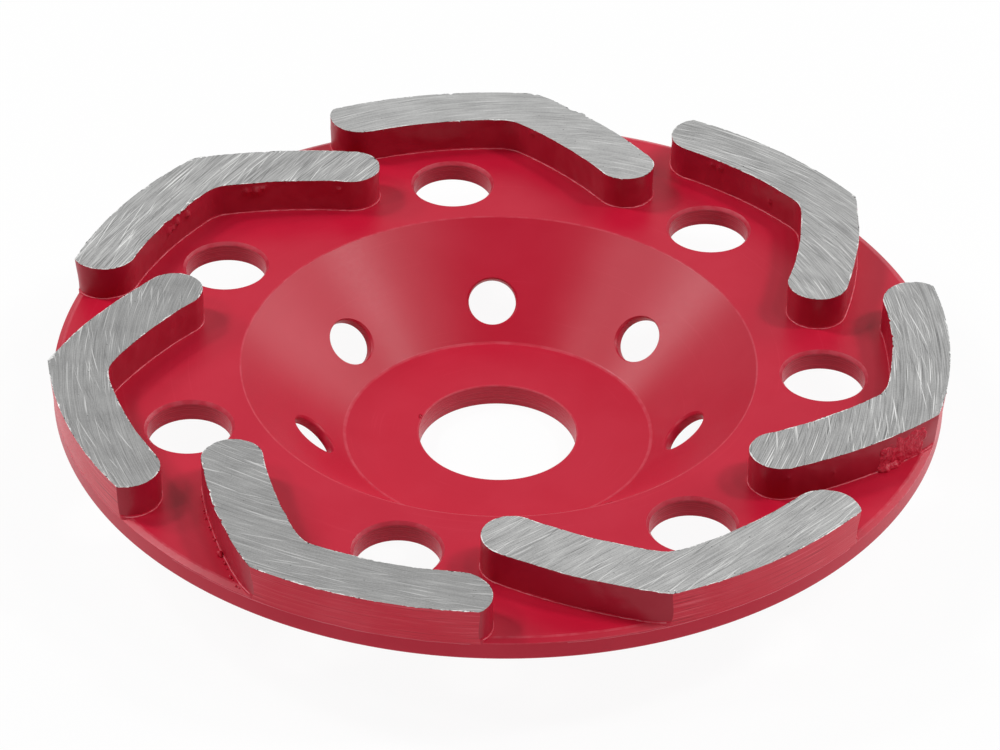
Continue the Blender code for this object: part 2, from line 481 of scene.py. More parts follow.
@dataclass(frozen=True)
class PowderCoat:
    """Satin red powder coat."""

    name: str
    red: Colour = (0.50, 0.006, 0.030, 1.0)
    thin_red: Colour = (0.58, 0.030, 0.062, 1.0)
    deep_red: Colour = (0.27, 0.004, 0.014, 1.0)
    thin_and_lit_edge_red: Colour = (0.70, 0.16, 0.20, 1.0)  # paler where the coat runs thin over an edge, and a painted highlight there
    bare: Colour = (0.42, 0.41, 0.40, 1.0)
    soot: Colour = (0.05, 0.012, 0.015, 1.0)
    under: Under = Under.TURNING
    specular: float = 0.25
    smoothest: float = 0.34
    roughest: float = 0.39
    cloud_size: float = 9.0 * MM
    grain_size: float = 0.28 * MM
    turning_width: float = 0.30 * MM
    turning_depth: float = 0.004 * MM
    thin_and_lit_spot_size: float = 1.6 * MM
    drilled_within: float = 58.0 * MM  # upright walls nearer to the axis than this are those of the holes
    drill_ring_width: float = 0.24 * MM
    grinding_width: float = 0.15 * MM
    grinding_depth: float = 0.022 * MM
    streak_width: float = 0.32 * MM
    grinding_patch_size: float = 16.0 * MM
    chip_size: float = 0.6 * MM
    flake_size: float = 0.35 * MM
    chipped_patch_size: float = 5.0 * MM

    def build(self) -> Material:
        """Builds the coat's material.

        Returns:
            The material.
        """
        bench = NodeBench(bpy.data.materials.new(self.name))
        place = bench.place()
        cloud = bench.noise(place, self.cloud_size, 3.0)
        grain = bench.noise(place, self.grain_size)
        lines = bench.scratches(place, 1.6, self.turning_width, seed=3.1)
        tint = bench.ramp(cloud, 0.35, 0.7, 0.0, 0.20)
        height = bench.math("MULTIPLY_ADD", grain, 0.14, lines)
        depth, shade, metal = self.turning_depth, None, 0.0
        if self.under is Under.GRINDING:
            tint, shade, height = self.show_grinding(bench, place, tint, height)
            depth = self.grinding_depth
        elif self.under is Under.TURNING:
            tint, shade, height = self.show_drilling(bench, place, lines, tint, height)
        colour = bench.blend(tint, self.red, self.thin_red)
        if shade is not None:
            colour = bench.blend(shade, colour, self.deep_red)
        edge = bench.edge()
        if self.under is Under.TURNING:
            # Paler along marked edges: partly a thin coat, partly a painted highlight on bevels, hole lips and the bead
            spots = bench.ramp(bench.noise(place, self.thin_and_lit_spot_size), 0.36, 0.62, 0.35, 0.85)
            colour = bench.blend(bench.math("MULTIPLY", edge, spots), colour, self.thin_and_lit_edge_red)
        else:
            colour, metal = self.chip_edge(bench, place, edge, colour)
        inputs = {
            "Base Color": colour,
            "Metallic": metal,
            "Roughness": bench.ramp(grain, 0.2, 0.8, self.smoothest, self.roughest),
            "Specular IOR Level": self.specular,
            "Normal": bench.bump(height, depth),
        }
        return bench.finish(bench.add("ShaderNodeBsdfPrincipled", inputs).outputs[0])

    def show_grinding(
        self, bench: NodeBench, place: Socket, tint: Socket, height: Socket
    ) -> tuple[Socket, Socket, Socket]:
        """Lets the grinding marks under the coat show through it in patches.

        Args:
            bench: The material's nodes.
            place: Coordinates about the axis.
            tint: How thin the coat looks.
            height: The surface's height map.

        Returns:
            The tint with the marks, how deep the coat's colour is between them, and the height map with them.
        """
        marks = bench.scratches(place, 7.0, self.grinding_width, seed=8.4)
        streaks = bench.scratches(place, 4.0, self.streak_width, seed=5.2, detail=1.0)
        share = bench.ramp(bench.noise(place, self.grinding_patch_size, 1.0), 0.38, 0.56, 0.25, 1.0)
        tint = bench.math("MULTIPLY_ADD", bench.ramp(marks, 0.54, 0.70), share, tint)
        deep_marks = bench.ramp(marks, 0.42, 0.28, 0.0, 0.9)
        deep_streaks = bench.ramp(streaks, 0.40, 0.30, 0.0, 0.5)
        shade = bench.math("MULTIPLY", bench.math("MAXIMUM", deep_marks, deep_streaks), share)
        return tint, shade, bench.math("MULTIPLY_ADD", marks, 2.0, height)

    def show_drilling(
        self, bench: NodeBench, place: Socket, lines: Socket, tint: Socket, height: Socket
    ) -> tuple[Socket, Socket, Socket]:
        """Lets the turning lines show faintly, and the drill's fine rings on the upright walls of the holes, which are
        made paler: partly a thinner coat, partly painted light.

        Args:
            bench: The material's nodes.
            place: Coordinates about the axis.
            lines: The turning lines.
            tint: How thin the coat looks.
            height: The surface's height map.

        Returns:
            The tint with the lines and the paler walls, how deep the coat's colour is between the rings, and the height
            map with them.
        """
        spot = bench.add("ShaderNodeSeparateXYZ", {0: place}).outputs
        inputs = {"W": bench.math("MULTIPLY", spot["Z"], 1 / self.drill_ring_width), "Scale": 1.0, "Detail": 1.0}
        rings = bench.add("ShaderNodeTexNoise", inputs, noise_dimensions="1D").outputs[0]
        normal = bench.add("ShaderNodeNewGeometry", {}).outputs["Normal"]
        upward = bench.math("ABSOLUTE", bench.add("ShaderNodeSeparateXYZ", {0: normal}).outputs["Z"])
        upright = bench.ramp(upward, 0.1, 0.3, 1.0, 0.0)
        inside = bench.math("LESS_THAN", bench.from_axis(place)[1], self.drilled_within)
        rings = bench.ramp(rings, 0.45, 0.65)
        drilled = bench.math("MULTIPLY", upright, inside)
        shade = bench.math("MULTIPLY", bench.math("MULTIPLY_ADD", rings, -0.3, 0.3), drilled)
        tint = bench.math("ADD", tint, bench.ramp(lines, 0.60, 0.74, 0.0, 0.22))
        # The walls of the holes are paler: partly a thinner coat on drilled steel, partly painted light from the floor
        # below.
        tint = bench.math("MULTIPLY_ADD", drilled, 0.6, tint)
        return tint, shade, bench.math("MULTIPLY_ADD", bench.math("MULTIPLY", rings, drilled), 6.0, height)

    def chip_edge(self, bench: NodeBench, place: Socket, edge: Socket, colour: Socket) -> tuple[Socket, Socket]:
        """Chips the coat along the top edge.

        Args:
            bench: The material's nodes.
            place: Coordinates about the axis.
            edge: How near the surface is to the edge.
            colour: The coat's colour.

        Returns:
            The colour with its chips, and how far the surface is bare metal.
        """
        chips = bench.noise(place, self.chip_size)
        flakes = bench.noise(place, self.flake_size, 1.0)
        patches = bench.noise(place, self.chipped_patch_size, 1.0)
        level = bench.math("MULTIPLY_ADD", chips, 1.9, edge)
        level = bench.math("MULTIPLY_ADD", patches, 0.9, level)
        worn = bench.ramp(level, 2.56, 2.64)
        bright = bench.ramp(flakes, 0.46, 0.56)
        colour = bench.blend(worn, colour, bench.blend(bright, self.soot, self.bare))
        return colour, bench.math("MULTIPLY", worn, bench.math("MULTIPLY", bright, 0.8))


@dataclass(frozen=True)
class GroundTop:
    """Bare sintered metal, dressed flat: fine curved scratches with some painted glints, pores, and a burred rim with a
    painted glint.
    """

    name: str
    middle: Vector  # of the segment
    centre: Vector  # of the scratches' wide arcs
    seed: float
    tone: float = 1.0  # how light it looks
    contrast: float = 1.0  # of the scratches
    dark: Colour = (0.22, 0.22, 0.218, 1.0)
    light: Colour = (0.47, 0.47, 0.465, 1.0)
    # painted glint, on single scratches and along the burred rim
    bright: Colour = (0.80, 0.80, 0.79, 1.0)
    pit: Colour = (0.05, 0.05, 0.05, 1.0)
    crossing_turn: float = math.radians(11.0)
    cloud_size: float = 4.0 * MM
    grain_size: float = 0.14 * MM
    scratch_length: float = 7.0 * MM
    fine_width: float = 0.12 * MM
    single_length: float = 8.0 * MM
    single_width: float = 0.14 * MM
    pore_size: float = 0.36 * MM
    glinting_rim_patch_size: float = 3.0 * MM
    crumb_size: float = 0.5 * MM
    scratch_depth: float = 0.006 * MM

    def toned(self, colour: Colour) -> Colour:
        """Returns a grey as light as this top is."""
        return (*(level * self.tone for level in colour[:3]), 1.0)

    def build(self) -> Material:
        """Builds the ground top's material.

        Returns:
            The material.
        """
        bench = NodeBench(bpy.data.materials.new(self.name))
        reach = self.centre - self.middle
        wheel = bench.place()
        arcs = bench.place(tuple(self.centre))
        crossing = bench.place(tuple(self.middle + Matrix.Rotation(self.crossing_turn, 2) @ reach))
        cloud = bench.noise(wheel, self.cloud_size)
        grain = bench.noise(wheel, self.grain_size, 1.0)
        run = reach.length / self.scratch_length
        fine = bench.scratches(arcs, run, self.fine_width, self.seed + 5.0, 1.0)
        single = bench.scratches(arcs, reach.length / self.single_length, self.single_width, self.seed + 9.0, 0.0)
        cross = bench.scratches(crossing, run, self.single_width, self.seed + 11.0, 0.0)
        depth = 1.8 * self.contrast
        shade = bench.math("MULTIPLY_ADD", fine, depth, -0.15 - depth / 2)
        shade = bench.math("MULTIPLY_ADD", grain, 0.8, shade)
        shade = bench.math("MULTIPLY_ADD", cloud, 0.5, shade)
        shade = bench.add("ShaderNodeClamp", {"Value": shade}).outputs[0]
        colour = bench.blend(shade, self.toned(self.dark), self.toned(self.light))
        # Dark pits and painted glints along single and crossing scratches
        for inlay, share, single_range, cross_range in (
            (self.pit, 0.45 * self.contrast, (0.34, 0.22), (0.30, 0.20)),
            (self.bright, 0.60 * self.contrast, (0.67, 0.78), (0.70, 0.80)),
        ):
            along = bench.ramp(single, *single_range, 0.0, share)
            across = bench.ramp(cross, *cross_range, 0.0, share)
            colour = bench.blend(bench.math("MAXIMUM", along, across), colour, inlay)
        pores = bench.noise(wheel, self.pore_size, 1.0)
        edge = bench.edge()
        # Painted glint in patches along the burred rim
        patches = bench.noise(wheel, self.glinting_rim_patch_size, 1.0)
        burr = bench.math("MULTIPLY_ADD", pores, 0.8, bench.math("MULTIPLY_ADD", patches, 1.4, edge))
        colour = bench.blend(bench.ramp(burr, 2.01, 2.21, 0.0, 0.72), colour, self.bright)
        crumbs = bench.noise(wheel, self.crumb_size, 1.0)
        notches = bench.ramp(bench.math("MULTIPLY_ADD", crumbs, 1.6, edge), 1.89, 1.98)
        colour = bench.blend(bench.math("MAXIMUM", bench.ramp(pores, 0.76, 0.82), notches), colour, self.pit)
        height = bench.math("MULTIPLY_ADD", grain, 0.5, fine)
        inputs = {
            "Base Color": colour,
            "Metallic": 1.0,
            "Roughness": bench.ramp(fine, 0.3, 0.7, 0.56, 0.46),
            "Normal": bench.bump(height, self.scratch_depth, 0.6),
        }
        return bench.finish(bench.add("ShaderNodeBsdfPrincipled", inputs).outputs[0])


@dataclass
class CupBody:
    """The turned steel cup: hub, cone and flange in one piece, with dust holes in the flange and in the cone."""

    rim_radius: float = 62.0 * MM
    mouth_radius: float = 36.0 * MM
    floor_radius: float = 21.7 * MM
    bore_radius: float = 11.115 * MM
    hub_height: float = 3.3 * MM
    flange_bottom: float = 13.0 * MM
    flange_top: float = 16.0 * MM
    cone_wall: float = 1.4 * MM
    rim_bevel_width: float = 0.9 * MM
    rim_bevel_depth: float = 0.4 * MM
    flange_hole_radius: float = 5.75 * MM
    flange_hole_circle: float = 45.3 * MM
    flange_hole_angle: float = math.radians(47.8)
    flange_hole_chamfer: float = 0.42 * MM
    flange_lip_width: float = 0.5 * MM
    flange_lip_depth: float = 0.6 * MM
    cone_hole_radius: float = 3.45 * MM
    cone_hole_up_slope: float = 6.3 * MM
    cone_hole_angle: float = math.radians(40.9)
    cone_hole_chamfer: float = 0.15 * MM
    cutter_margin: float = 2.0 * MM
    sides: int = 504
    hole_sides: int = 96
    nick: tuple[float, float] = (-11.0 * MM, 3.35 * MM)
    nick_radius: float = 0.42 * MM
    nick_roughness: float = 0.05 * MM
    thin_and_lit_on_bevels: float = 0.3  # how far the coat runs thin there, together with its painted highlight
    thin_and_lit_on_lips: float = 0.4
    sharp_angle: float = math.radians(24.0)

    @property
    def slope(self) -> float:
        """Returns the angle of the cone's inner side above the floor."""
        return math.atan2(self.flange_top - self.hub_height, self.mouth_radius - self.floor_radius)

    def outside_radius(self, height: float) -> float:
        """Returns the radius of the cone's outer side at a height."""
        inside = self.floor_radius + (height - self.hub_height) / math.tan(self.slope)
        return inside + self.cone_wall / math.sin(self.slope)

    def corners(self) -> list[tuple[float, float, float, int]]:
        """Lists the corners of the section, from the bore's lower edge upwards and round.

        Returns:
            Each corner's radius and height, the width of its bevel, and the bevel's steps.
        """
        return [
            (self.bore_radius, 0.0, 0.22 * MM, 2),
            (self.bore_radius, self.hub_height, 0.25 * MM, 3),
            (self.floor_radius, self.hub_height, 0.28 * MM, 4),
            (self.mouth_radius, self.flange_top, 0.14 * MM, 4),
            (self.rim_radius - self.rim_bevel_width, self.flange_top, 0.2 * MM, 3),
            (self.rim_radius, self.flange_top - self.rim_bevel_depth, 0.08 * MM, 2),
            (self.rim_radius, self.flange_bottom, 0.3 * MM, 2),
            (self.outside_radius(self.flange_bottom), self.flange_bottom, 0.57 * MM, 4),
            (self.outside_radius(0.0), 0.0, 0.38 * MM, 4),
        ]

    @staticmethod
    def on_ring(point: Vector, radius: float, height: float) -> bool:
        """Tells whether a point lies on a turned ring."""
        return abs(point.z - height) < 0.01 * MM and abs(point.to_2d().length - radius) < 0.01 * MM

    def turn(self) -> Piece:
        """Turns the section and bevels its rings.

        Returns:
            The cup without its holes.
        """
        body = stack_rings("powder_coated_cup", [corner[:2] for corner in self.corners()], self.sides, closed=True)
        with editing(body):
            for radius, height, width, steps in self.corners():
                pick(body, "EDGE", lambda points: all(self.on_ring(point, radius, height) for point in points))
                bpy.ops.mesh.bevel(offset=width, offset_type="OFFSET", segments=steps, profile=0.5, affect="EDGES")
        return body

    def drill(
        self, name: str, radius: float, chamfer: float, top: float, bottom: float, places: list[Matrix]
    ) -> list[Piece]:
        """Builds drills that cut through and chamfer the upper edge.

        Args:
            name: The drills' name.
            radius: Radius of the hole.
            chamfer: Width of the chamfer at the top.
            top: Height of the hole's top along the drill.
            bottom: Height of its bottom.
            places: Where the drills stand.

        Returns:
            The drills.
        """
        margin = self.cutter_margin
        rings = [
            (radius, bottom - margin),
            (radius, top - chamfer * 1.25),
            (radius + chamfer * 0.12, top - chamfer * 0.95),
            (radius + chamfer, top),
            (radius + chamfer * 1.1 + margin, top + margin),
        ]
        drill = stack_rings(name, rings, self.hole_sides, closed=False)
        drills = [copy_piece(drill, name) for _ in places]
        for copy, place in zip(drills, places):
            copy.matrix_world = place
        bpy.data.objects.remove(drill, do_unlink=True)
        return drills

    def drills(self) -> list[Piece]:
        """Builds the drills of all dust holes.

        Returns:
            Those of the flange, and then those of the cone, which stand square on its slope.
        """
        upright = Matrix.Translation((self.flange_hole_circle, 0.0, 0.0))
        slope = self.slope
        foot = Vector((self.floor_radius, 0.0, self.hub_height))
        centre = foot + self.cone_hole_up_slope * Vector((math.cos(slope), 0.0, math.sin(slope)))
        square = Matrix.Translation(centre) @ Matrix.Rotation(-slope, 4, "Y")
        flange_places = [turn @ upright for turn in ring_places(self.flange_hole_angle)]
        cone_places = [turn @ square for turn in ring_places(self.cone_hole_angle)]
        flange_sizes = (self.flange_hole_radius, self.flange_hole_chamfer, self.flange_top, self.flange_bottom)
        cone_sizes = (self.cone_hole_radius, self.cone_hole_chamfer, 0.0, -self.cone_wall)
        return [
            *self.drill("flange_drill", *flange_sizes, flange_places),
            *self.drill("cone_drill", *cone_sizes, cone_places),
        ]

    def nick_cutter(self) -> Piece:
        """Builds the small rough cutter that nicks the bore's upper edge.

        Returns:
            The cutter.
        """
        clear_selection()
        bpy.ops.mesh.primitive_ico_sphere_add(
            subdivisions=2, radius=self.nick_radius, location=(*self.nick, self.hub_height), scale=(0.7, 1.4, 0.8)
        )
        cutter = fresh("nick_cutter")
        settle(cutter)
        with editing(cutter):
            bpy.ops.mesh.select_all(action="SELECT")
            bpy.ops.transform.vertex_random(offset=self.nick_roughness, seed=3)
        return cutter

    def mark_edges(self, body: Piece) -> None:
        """Marks the small bevels and the lips of the flange holes, where the coat runs thin and a painted highlight
        lies.

        Args:
            body: The drilled cup.
        """
        bevels = self.corners()[1:7]  # those that are seen from above
        centre = Vector((self.flange_hole_circle, 0.0, 0.0))
        holes = [(place @ centre).to_2d() for place in ring_places(self.flange_hole_angle)]
        lip_radius = self.flange_hole_radius + self.flange_lip_width
        lowest, highest = self.flange_top - self.flange_lip_depth, self.flange_top - 0.01 * MM
        edge = body.data.attributes.new("edge", "FLOAT", "CORNER")
        for face in body.data.polygons:
            spot, height = face.center.to_2d(), face.center.z
            on_bevel = any(
                abs(spot.length - radius) < width and abs(height - level) < width for radius, level, width, _ in bevels
            )
            slanted = lowest < height < highest and face.normal.z > 0.2
            if on_bevel:
                # Thin coat and painted highlight share this mark: its value pales the edge colour.
                thin = self.thin_and_lit_on_bevels
            elif slanted and any((spot - hole).length < lip_radius for hole in holes):
                thin = self.thin_and_lit_on_lips
            else:
                continue
            for corner in face.loop_indices:
                edge.data[corner].value = thin

    def build(self, coat: Material) -> Piece:
        """Builds the cup and gives it its coat.

        Args:
            coat: The powder coat.

        Returns:
            The finished cup.
        """
        body = self.turn()
        boolean(body, [*self.drills(), self.nick_cutter()], "DIFFERENCE")
        face_out(body)
        self.mark_edges(body)
        dress(body, coat)
        take(body)
        bpy.ops.object.shade_smooth_by_angle(angle=self.sharp_angle)
        weighted = body.modifiers.new("even_shading", "WEIGHTED_NORMAL")
        weighted.keep_sharp = True
        weighted.weight = 100
        apply_modifiers(body)
        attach(body, "root")
        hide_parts("cup_body")
        return body


@dataclass(frozen=True)
class Sweep:
    """One arc of a segment's outline."""

    centre: Vector
    start: Vector
    end: Vector
    clockwise: bool

    def trace(self, step: float, height: float) -> None:
        """Spins the selected point along the arc.

        Args:
            step: Longest step along the arc.
            height: Height of the outline.
        """
        first, last = self.start - self.centre, self.end - self.centre
        angle = (math.atan2(last.y, last.x) - math.atan2(first.y, first.x)) % math.tau
        if self.clockwise:
            angle -= math.tau
        steps = max(2, math.ceil(abs(angle) * first.length / step))
        bpy.ops.mesh.spin(
            steps=steps,
            dupli=False,
            angle=-angle,
            use_auto_merge=False,
            center=(self.centre.x, self.centre.y, height),
            axis=(0.0, 0.0, 1.0),
        )


@dataclass(frozen=True)
class Mark:
    """A chip, burr or lump on a segment, placed on the wheel in millimetres."""

    kind: Wear
    x: float
    y: float
    z: float = 21.1
    size: float = 0.7
    push: float = 0.25


@dataclass
class SegmentBlank:
    """The sintered segment, bent like a boomerang: one leg follows the rim, and the other runs inward."""

    wheel_radius: float = 62.5 * MM
    ground_top_radius: float = 62.45 * MM
    ground_foot_radius: float = 62.07 * MM
    base: float = 16.3 * MM
    top: float = 21.1 * MM
    grind_depth: float = 1.3 * MM
    rim_leg_width: float = 8.0 * MM
    inward_leg_width: float = 8.3 * MM
    inward_leg_bend: float = 66.6 * MM
    inward_leg_skew: float = math.radians(58.0)
    inward_tip_inset: float = 15.85 * MM
    spread: float = math.radians(44.1)
    inner_corner_round: float = 4.8 * MM
    tip_draft: float = 1.1 * MM
    corner_draft: float = 1.2 * MM
    tip_draft_reach: float = 7.0 * MM
    corner_set_in: float = 0.3 * MM
    corner_draft_reach: float = 6.0 * MM
    step: float = 0.36 * MM
    sliver_weld: float = 0.08 * MM
    grinder_sides: int = 1080
    grinder_margin: float = 1.0 * MM
    row_depths: tuple[float, ...] = (0.12, 0.26, 0.44, 0.68, 1.0, 1.4, 1.9, 2.4, 2.9, 3.4, 3.9, 4.4)
    ring_widths: tuple[float, ...] = (0.10, 0.14, 0.20)
    face_tolerance: float = 0.015 * MM
    large_face: int = 100  # points, which only the top and the foot exceed

    def outline(self, grow: float) -> list[Sweep]:
        """Returns the arcs round the segment before its outer face is ground, with the inward tip on +X.

        Args:
            grow: How far the outline lies outside the segment's own.

        Returns:
            The arcs, anticlockwise from the outer corner.
        """
        axis = Vector((0.0, 0.0))
        outside = self.wheel_radius + self.grind_depth + grow
        inside = self.wheel_radius - self.rim_leg_width - grow
        tip_radius = (outside - inside) / 2
        rim_tip = self.polar(inside + tip_radius, self.spread)
        inward_tip = Vector((self.wheel_radius - self.inward_tip_inset, 0.0))
        across = self.polar(1.0, math.pi / 2 + self.inward_leg_skew)
        half_width = self.inward_leg_width / 2 + grow
        bend_centre = inward_tip + across * self.inward_leg_bend
        corner = self.meet(axis, outside, bend_centre, self.inward_leg_bend + half_width, inward_tip)
        fillet = self.inner_corner_round - grow
        near_side = self.inward_leg_bend - half_width
        fillet_centre = self.meet(axis, inside - fillet, bend_centre, near_side - fillet, inward_tip)
        on_rim_leg = fillet_centre.normalized() * inside
        on_inward_leg = bend_centre + (fillet_centre - bend_centre).normalized() * near_side
        rim_tip_outer, rim_tip_inner = self.polar(outside, self.spread), self.polar(inside, self.spread)
        tip_outer, tip_inner = inward_tip - across * half_width, inward_tip + across * half_width
        return [
            Sweep(axis, corner, rim_tip_outer, False),
            Sweep(rim_tip, rim_tip_outer, rim_tip_inner, False),
            Sweep(axis, rim_tip_inner, on_rim_leg, True),
            Sweep(fillet_centre, on_rim_leg, on_inward_leg, True),
            Sweep(bend_centre, on_inward_leg, tip_inner, True),
            Sweep(inward_tip, tip_inner, tip_outer, False),
            Sweep(bend_centre, tip_outer, corner, False),
        ]

    @staticmethod
    def polar(radius: float, angle: float) -> Vector:
        """Returns the point at a radius and an angle in the wheel's plane."""
        return Vector((radius * math.cos(angle), radius * math.sin(angle)))

    @staticmethod
    def meet(first: Vector, first_radius: float, second: Vector, second_radius: float, near: Vector) -> Vector:
        """Returns the point where two circles meet, the one that lies nearer to a given point."""
        points = intersect_sphere_sphere_2d(first, first_radius, second, second_radius)
        return min((Vector(point) for point in points), key=lambda point: (point - near).length)

    @property
    def lean(self) -> float:
        """Returns how far the ground outer face leans out over its height."""
        return (self.ground_top_radius - self.ground_foot_radius) / (self.top - self.base)

    def grinder(self, heights: Sequence[float], setback: float) -> Piece:
        """Builds the cone inside which the outer faces are ground.

        Args:
            heights: Heights of its rings.
            setback: How far it lies inside the segments' ground faces.

        Returns:
            The cone.
        """
        foot = self.ground_foot_radius - setback
        rings = [(foot + self.lean * (height - self.base), height) for height in heights]
        return stack_rings("grinder", rings, self.grinder_sides, closed=False)

    def on_ground_face(self, point: Vector) -> bool:
        """Tells whether a point lies on the ground cone."""
        radius = self.ground_foot_radius + self.lean * (point.z - self.base)
        return abs(point.to_2d().length - radius) < self.face_tolerance

    def draw_in(self, block: Piece) -> None:
        """Draws the outer side's foot in at both ends, as a sintered piece tapers there: the grinding misses it.

        Args:
            block: The block in edit mode, with its inward tip on +X.
        """
        corner = self.outline(0.0)[0].start
        tip = self.polar(self.wheel_radius + self.grind_depth, self.spread)
        out = corner.normalized()
        for foot, push, size in (
            (tip, tip.normalized() * -self.tip_draft, self.tip_draft_reach),
            (corner, out.orthogonal() * self.corner_draft - out * self.corner_set_in, self.corner_draft_reach),
        ):
            place = foot.to_3d() + Vector((0.0, 0.0, self.base))
            points = (vert.co for vert in bmesh.from_edit_mesh(block.data).verts)
            nearest = min(points, key=lambda point: (point - place).length).copy()
            drag(block, nearest, push.to_3d(), "SMOOTH", size)

    def block(
        self, name: str, grow: float, low: float, high: float, rows: Sequence[float] = (), setback: float = 0.0
    ) -> Piece:
        """Traces the outline with spins, fills and extrudes it, and grinds its outer face.

        Args:
            name: The block's name.
            grow: How far the outline lies outside the segment's own.
            low: Height of the block's base.
            high: Height of its top.
            rows: Heights of the rows of points up its sides.
            setback: How far its ground face lies inside the segment's.

        Returns:
            The block, with its inward tip on +X.
        """
        sweeps = self.outline(grow)
        clear_selection()
        bpy.ops.mesh.primitive_circle_add(vertices=3, radius=1.0 * MM, location=(0.0, 0.0, 0.0))
        block = fresh(name)
        with editing(block):
            pick(block, "VERT", lambda points: points[0].y <= 0.999 * MM)  # all but one, which starts the outline
            bpy.ops.mesh.delete(type="VERT")
            bpy.ops.mesh.select_all(action="SELECT")
            start = sweeps[0].start
            bpy.ops.transform.translate(value=(start.x, start.y - 1.0 * MM, low))
            for sweep in sweeps:
                sweep.trace(self.step, low)
            bpy.ops.mesh.select_all(action="SELECT")
            bpy.ops.mesh.remove_doubles(threshold=0.01 * MM)
            bpy.ops.mesh.edge_face_add()
            bpy.ops.mesh.extrude_region_move(TRANSFORM_OT_translate={"value": (0.0, 0.0, high - low)})
            for row in rows:
                bpy.ops.mesh.select_all(action="SELECT")
                bpy.ops.mesh.bisect(plane_co=(0.0, 0.0, row), plane_no=(0.0, 0.0, 1.0))
            self.draw_in(block)
        face_out(block)
        heights = [low - self.grinder_margin, *sorted(rows), high + self.grinder_margin]
        boolean(block, [self.grinder(heights, setback)], "INTERSECT")
        face_out(block, weld=self.sliver_weld)
        return block

    def is_top(self, points: Sequence[Vector]) -> bool:
        """Tells whether these are the points of the large ground face."""
        return len(points) > self.large_face and points[0].z > (self.top + self.base) / 2

    def build(self) -> Piece:
        """Builds the blank with rows up its sides and rings round the edge of its top.

        Returns:
            The blank, with its inward tip on +X.
        """
        rows = [self.top - depth * MM for depth in self.row_depths]
        blank = self.block("diamond_segment_blank", 0.0, self.base, self.top, rows)
        with editing(blank):
            for width in self.ring_widths:
                pick(blank, "FACE", self.is_top)
                bpy.ops.mesh.inset(thickness=width * MM, depth=0.0)
                bpy.ops.mesh.remove_doubles(threshold=CORNER_MERGE)  # at the sharp corner, where the inset folds over
        return blank


